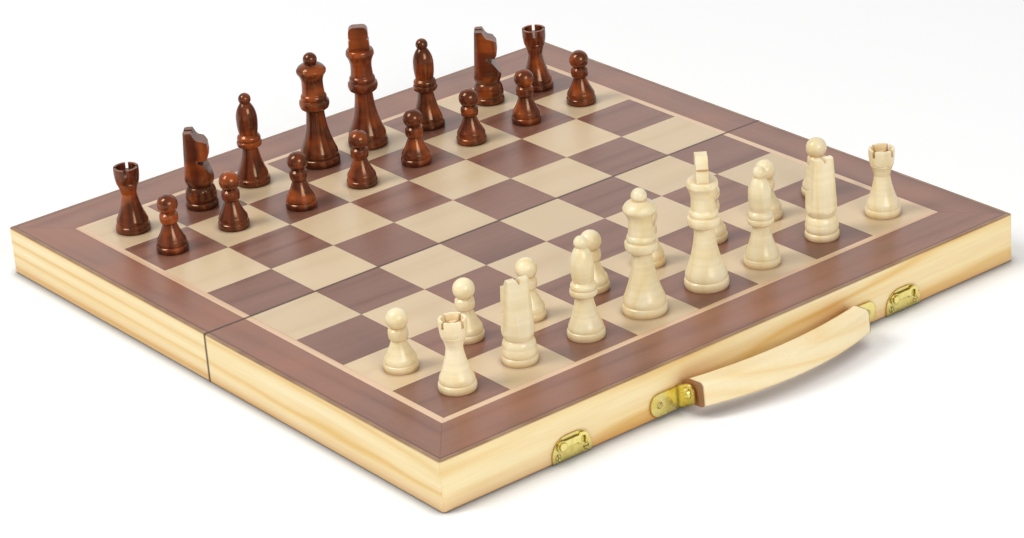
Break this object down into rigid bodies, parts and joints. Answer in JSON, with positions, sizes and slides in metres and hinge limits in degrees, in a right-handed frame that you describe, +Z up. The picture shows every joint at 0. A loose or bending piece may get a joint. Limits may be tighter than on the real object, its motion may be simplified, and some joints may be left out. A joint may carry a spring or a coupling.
{
  "type": "folding chess box with chessmen",
  "caption": "Two shallow wooden trays hinged along one edge, opened flat as an inlaid chessboard, with hook clasps, a bowed carrying handle and turned chessmen standing on it.",
  "frame": {"origin": "middle of the fold, in the plane of the tray rims that the open board rests on", "axes": "+X along the fold to the right, +Y from the front half with the handle to the rear half, +Z up out of the playing surface"},
  "size_m": [0.3764, 0.4163, 0.0991],
  "materials": {
    "pine": "satin clear varnish, pale softwood",
    "plywood": "bare birch plywood",
    "walnut_veneer": "satin varnish, dark walnut",
    "maple_veneer": "satin varnish, light maple",
    "brass": "polished brass plate",
    "handle_beech": "gloss clear varnish",
    "boxwood": "gloss clear varnish, pale boxwood",
    "mahogany": "gloss dark red-brown stain"
  },
  "bodies": {
    "front_half": {"clasp_plates": "brass", "front_border_veneer": "walnut_veneer", "front_dark_veneer": "walnut_veneer", "front_hinge_leaves": "brass", "front_hinge_rail": "pine", "front_left_rail": "pine", "front_light_veneer": "maple_veneer", "front_outer_rail": "pine", "front_panel": "plywood", "front_right_rail": "pine", "front_screws": "brass", "handle_brackets": "brass", "hinge_pins": "brass"},
    "rear_half": {"catch_plates": "brass", "rear_border_veneer": "walnut_veneer", "rear_dark_veneer": "walnut_veneer", "rear_hinge_leaves": "brass", "rear_hinge_rail": "pine", "rear_left_rail": "pine", "rear_light_veneer": "maple_veneer", "rear_outer_rail": "pine", "rear_panel": "plywood", "rear_right_rail": "pine", "rear_screws": "brass"},
    "handle": {"carry_handle": "handle_beech", "handle_pivot_screws": "brass"},
    "left_clasp": {"left_clasp_hook": "brass"},
    "right_clasp": {"right_clasp_hook": "brass"},
    "man_dark_bishop_c": {"dark_bishop_c": "mahogany"},
    "man_dark_bishop_f": {"dark_bishop_f": "mahogany"},
    "man_dark_king": {"dark_king": "mahogany"},
    "man_dark_knight_b": {"dark_knight_b": "mahogany"},
    "man_dark_knight_g": {"dark_knight_g": "mahogany"},
    "man_dark_pawn_a": {"dark_pawn_a": "mahogany"},
    "man_dark_pawn_b": {"dark_pawn_b": "mahogany"},
    "man_dark_pawn_c": {"dark_pawn_c": "mahogany"},
    "man_dark_pawn_d": {"dark_pawn_d": "mahogany"},
    "man_dark_pawn_e": {"dark_pawn_e": "mahogany"},
    "man_dark_pawn_f": {"dark_pawn_f": "mahogany"},
    "man_dark_pawn_g": {"dark_pawn_g": "mahogany"},
    "man_dark_pawn_h": {"dark_pawn_h": "mahogany"},
    "man_dark_queen": {"dark_queen": "mahogany"},
    "man_dark_rook_a": {"dark_rook_a": "mahogany"},
    "man_dark_rook_h": {"dark_rook_h": "mahogany"},
    "man_white_bishop_c": {"white_bishop_c": "boxwood"},
    "man_white_bishop_f": {"white_bishop_f": "boxwood"},
    "man_white_king": {"white_king": "boxwood"},
    "man_white_knight_b": {"white_knight_b": "boxwood"},
    "man_white_knight_g": {"white_knight_g": "boxwood"},
    "man_white_pawn_a": {"white_pawn_a": "boxwood"},
    "man_white_pawn_b": {"white_pawn_b": "boxwood"},
    "man_white_pawn_c": {"white_pawn_c": "boxwood"},
    "man_white_pawn_d": {"white_pawn_d": "boxwood"},
    "man_white_pawn_e": {"white_pawn_e": "boxwood"},
    "man_white_pawn_f": {"white_pawn_f": "boxwood"},
    "man_white_pawn_g": {"white_pawn_g": "boxwood"},
    "man_white_pawn_h": {"white_pawn_h": "boxwood"},
    "man_white_queen": {"white_queen": "boxwood"},
    "man_white_rook_a": {"white_rook_a": "boxwood"},
    "man_white_rook_h": {"white_rook_h": "boxwood"}
  },
  "joints": [
    {"name": "board_fold", "type": "hinge", "parent": "front_half", "child": "rear_half", "pos_m": [0, 0, 0], "axis": [-1, 0, 0], "range_deg": [0, 180]},
    {"name": "handle_swing", "type": "hinge", "parent": "front_half", "child": "handle", "pos_m": [0.012, -0.2014, 0.012], "axis": [-1, 0, 0], "range_deg": [-94, 86]},
    {"name": "left_clasp_swing", "type": "hinge", "parent": "front_half", "child": "left_clasp", "pos_m": [-0.1182, -0.1947, 0.0084], "axis": [0, 1, 0], "range_deg": [0, 90]},
    {"name": "right_clasp_swing", "type": "hinge", "parent": "front_half", "child": "right_clasp", "pos_m": [0.1008, -0.1947, 0.0084], "axis": [0, 1, 0], "range_deg": [0, 90]},
    {"name": "lift_dark_bishop_c", "type": "slide", "parent": "rear_half", "child": "man_dark_bishop_c", "axis": [0, 0, 1], "range_m": [0, 0.08]},
    {"name": "lift_dark_bishop_f", "type": "slide", "parent": "rear_half", "child": "man_dark_bishop_f", "axis": [0, 0, 1], "range_m": [0, 0.08]},
    {"name": "lift_dark_king", "type": "slide", "parent": "rear_half", "child": "man_dark_king", "axis": [0, 0, 1], "range_m": [0, 0.08]},
    {"name": "lift_dark_knight_b", "type": "slide", "parent": "rear_half", "child": "man_dark_knight_b", "axis": [0, 0, 1], "range_m": [0, 0.08]},
    {"name": "lift_dark_knight_g", "type": "slide", "parent": "rear_half", "child": "man_dark_knight_g", "axis": [0, 0, 1], "range_m": [0, 0.08]},
    {"name": "lift_dark_pawn_a", "type": "slide", "parent": "rear_half", "child": "man_dark_pawn_a", "axis": [0, 0, 1], "range_m": [0, 0.08]},
    {"name": "lift_dark_pawn_b", "type": "slide", "parent": "rear_half", "child": "man_dark_pawn_b", "axis": [0, 0, 1], "range_m": [0, 0.08]},
    {"name": "lift_dark_pawn_c", "type": "slide", "parent": "rear_half", "child": "man_dark_pawn_c", "axis": [0, 0, 1], "range_m": [0, 0.08]},
    {"name": "lift_dark_pawn_d", "type": "slide", "parent": "rear_half", "child": "man_dark_pawn_d", "axis": [0, 0, 1], "range_m": [0, 0.08]},
    {"name": "lift_dark_pawn_e", "type": "slide", "parent": "rear_half", "child": "man_dark_pawn_e", "axis": [0, 0, 1], "range_m": [0, 0.08]},
    {"name": "lift_dark_pawn_f", "type": "slide", "parent": "rear_half", "child": "man_dark_pawn_f", "axis": [0, 0, 1], "range_m": [0, 0.08]},
    {"name": "lift_dark_pawn_g", "type": "slide", "parent": "rear_half", "child": "man_dark_pawn_g", "axis": [0, 0, 1], "range_m": [0, 0.08]},
    {"name": "lift_dark_pawn_h", "type": "slide", "parent": "rear_half", "child": "man_dark_pawn_h", "axis": [0, 0, 1], "range_m": [0, 0.08]},
    {"name": "lift_dark_queen", "type": "slide", "parent": "rear_half", "child": "man_dark_queen", "axis": [0, 0, 1], "range_m": [0, 0.08]},
    {"name": "lift_dark_rook_a", "type": "slide", "parent": "rear_half", "child": "man_dark_rook_a", "axis": [0, 0, 1], "range_m": [0, 0.08]},
    {"name": "lift_dark_rook_h", "type": "slide", "parent": "rear_half", "child": "man_dark_rook_h", "axis": [0, 0, 1], "range_m": [0, 0.08]},
    {"name": "lift_white_bishop_c", "type": "slide", "parent": "front_half", "child": "man_white_bishop_c", "axis": [0, 0, 1], "range_m": [0, 0.08]},
    {"name": "lift_white_bishop_f", "type": "slide", "parent": "front_half", "child": "man_white_bishop_f", "axis": [0, 0, 1], "range_m": [0, 0.08]},
    {"name": "lift_white_king", "type": "slide", "parent": "front_half", "child": "man_white_king", "axis": [0, 0, 1], "range_m": [0, 0.08]},
    {"name": "lift_white_knight_b", "type": "slide", "parent": "front_half", "child": "man_white_knight_b", "axis": [0, 0, 1], "range_m": [0, 0.08]},
    {"name": "lift_white_knight_g", "type": "slide", "parent": "front_half", "child": "man_white_knight_g", "axis": [0, 0, 1], "range_m": [0, 0.08]},
    {"name": "lift_white_pawn_a", "type": "slide", "parent": "front_half", "child": "man_white_pawn_a", "axis": [0, 0, 1], "range_m": [0, 0.08]},
    {"name": "lift_white_pawn_b", "type": "slide", "parent": "front_half", "child": "man_white_pawn_b", "axis": [0, 0, 1], "range_m": [0, 0.08]},
    {"name": "lift_white_pawn_c", "type": "slide", "parent": "front_half", "child": "man_white_pawn_c", "axis": [0, 0, 1], "range_m": [0, 0.08]},
    {"name": "lift_white_pawn_d", "type": "slide", "parent": "front_half", "child": "man_white_pawn_d", "axis": [0, 0, 1], "range_m": [0, 0.08]},
    {"name": "lift_white_pawn_e", "type": "slide", "parent": "front_half", "child": "man_white_pawn_e", "axis": [0, 0, 1], "range_m": [0, 0.08]},
    {"name": "lift_white_pawn_f", "type": "slide", "parent": "front_half", "child": "man_white_pawn_f", "axis": [0, 0, 1], "range_m": [0, 0.08]},
    {"name": "lift_white_pawn_g", "type": "slide", "parent": "front_half", "child": "man_white_pawn_g", "axis": [0, 0, 1], "range_m": [0, 0.08]},
    {"name": "lift_white_pawn_h", "type": "slide", "parent": "front_half", "child": "man_white_pawn_h", "axis": [0, 0, 1], "range_m": [0, 0.08]},
    {"name": "lift_white_queen", "type": "slide", "parent": "front_half", "child": "man_white_queen", "axis": [0, 0, 1], "range_m": [0, 0.08]},
    {"name": "lift_white_rook_a", "type": "slide", "parent": "front_half", "child": "man_white_rook_a", "axis": [0, 0, 1], "range_m": [0, 0.08]},
    {"name": "lift_white_rook_h", "type": "slide", "parent": "front_half", "child": "man_white_rook_h", "axis": [0, 0, 1], "range_m": [0, 0.08]}
  ]
}
